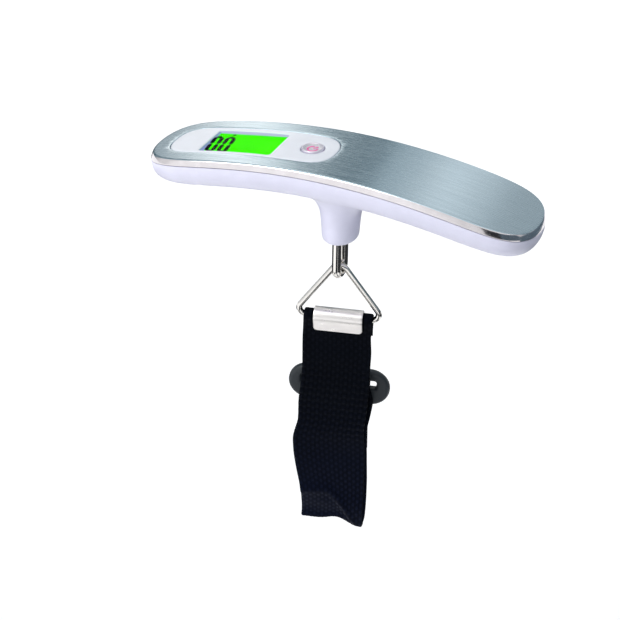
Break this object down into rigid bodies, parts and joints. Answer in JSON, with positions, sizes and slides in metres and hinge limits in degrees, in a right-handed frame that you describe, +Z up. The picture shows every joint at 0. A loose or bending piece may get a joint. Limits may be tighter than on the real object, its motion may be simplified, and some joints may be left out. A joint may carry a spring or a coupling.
{
  "type": "digital luggage scale",
  "caption": "Handheld hanging scale: arched steel-topped handle with a lit segment display and button, a wire eye and triangle below, and a webbing strap with a slotted toggle.",
  "frame": {"origin": "Crown of the steel cover, straight above the hook's line, where the hand lifts.", "axes": "+Z up as it hangs in use, +X along the handle away from the display, -Y the front."},
  "size_m": [0.1408, 0.036, 0.1608],
  "materials": {
    "brushed_cover": "stainless sheet brushed along the handle, polished turned-down edge",
    "white_shell": "cool white satin moulding",
    "insert": "smooth white moulding",
    "window": "clear acrylic",
    "display": "segment display over a green backlight",
    "light_guide": "frosted green acrylic",
    "lamp": "small lamp package",
    "elastomer": "layered conductive rubber",
    "board": "green solder resist",
    "potting": "black epoxy",
    "switch_body": "black switch housing",
    "button_cap": "silvery satin cap with a printed pink power sign",
    "chromed_wire": "bright nickel-chrome plating",
    "clamp_steel": "bright plated sheet",
    "webbing": "black polypropylene webbing",
    "toggle_plastic": "dark grey satin moulding",
    "beam": "machined",
    "gauge_film": "amber film",
    "nickel": "nickel plating",
    "lead": "insulated wire"
  },
  "bodies": {
    "handle": {"steel_cover": "brushed_cover", "upper_shell": "white_shell", "display_bezel": "insert", "window_lens": "window", "lcd_panel": "display", "backlight_panel": "light_guide", "backlight_led": "lamp", "zebra_strip": "elastomer", "button_switch": "switch_body", "main_pcb": "board", "controller_chip": "potting", "lower_shell": "white_shell", "coin_cell": "nickel", "battery_contact_minus": "nickel", "battery_contact_plus": "nickel", "load_cell": "beam", "strain_gauge_top": "gauge_film", "strain_gauge_bottom": "gauge_film", "load_cell_bolt_1": "nickel", "load_cell_bolt_2": "nickel", "hook_pin": "nickel", "gauge_cable": "lead", "case_screw_1": "nickel", "case_screw_2": "nickel", "case_screw_3": "nickel", "case_screw_4": "nickel"},
    "button": {"power_button": "button_cap"},
    "door": {"battery_door": "white_shell"},
    "link": {"hook_link": "chromed_wire"},
    "ring": {"triangle_ring": "chromed_wire"},
    "strap": {"strap_front": "webbing", "strap_clamp": "clamp_steel"},
    "tail": {"strap_tail": "webbing"},
    "toggle": {"toggle_buckle": "toggle_plastic"}
  },
  "joints": [
    {"name": "button_press", "type": "slide", "parent": "handle", "child": "button", "axis": [0.0469, 0, -0.9989], "range_m": [0, 0.0004], "stiffness_N_per_m": 2000},
    {"name": "door_open", "type": "hinge", "parent": "handle", "child": "door", "pos_m": [0.05705, 0, -0.02064], "axis": [0, -1, 0], "range_deg": [0, 75]},
    {"name": "link_swing", "type": "hinge", "parent": "handle", "child": "link", "pos_m": [0, 0, -0.0086], "axis": [1, 0, 0], "range_deg": [-4, 4]},
    {"name": "ring_swing", "type": "hinge", "parent": "link", "child": "ring", "pos_m": [0, 0, -0.0467], "axis": [-0.2419, 0.9703, 0], "range_deg": [-45, 45]},
    {"name": "strap_pivot", "type": "hinge", "parent": "ring", "child": "strap", "pos_m": [0, 0, -0.0653], "axis": [0.9703, 0.2419, 0], "range_deg": [-90, 90]},
    {"name": "strap_fold", "type": "hinge", "parent": "strap", "child": "tail", "pos_m": [0.00029, -0.00116, -0.1605], "axis": [-0.9703, -0.2419, 0], "range_deg": [0, 150]},
    {"name": "toggle_pivot", "type": "hinge", "parent": "tail", "child": "toggle", "pos_m": [-0.00123, 0.00495, -0.0972], "axis": [0.9703, 0.2419, 0], "range_deg": [-8, 8]}
  ]
}
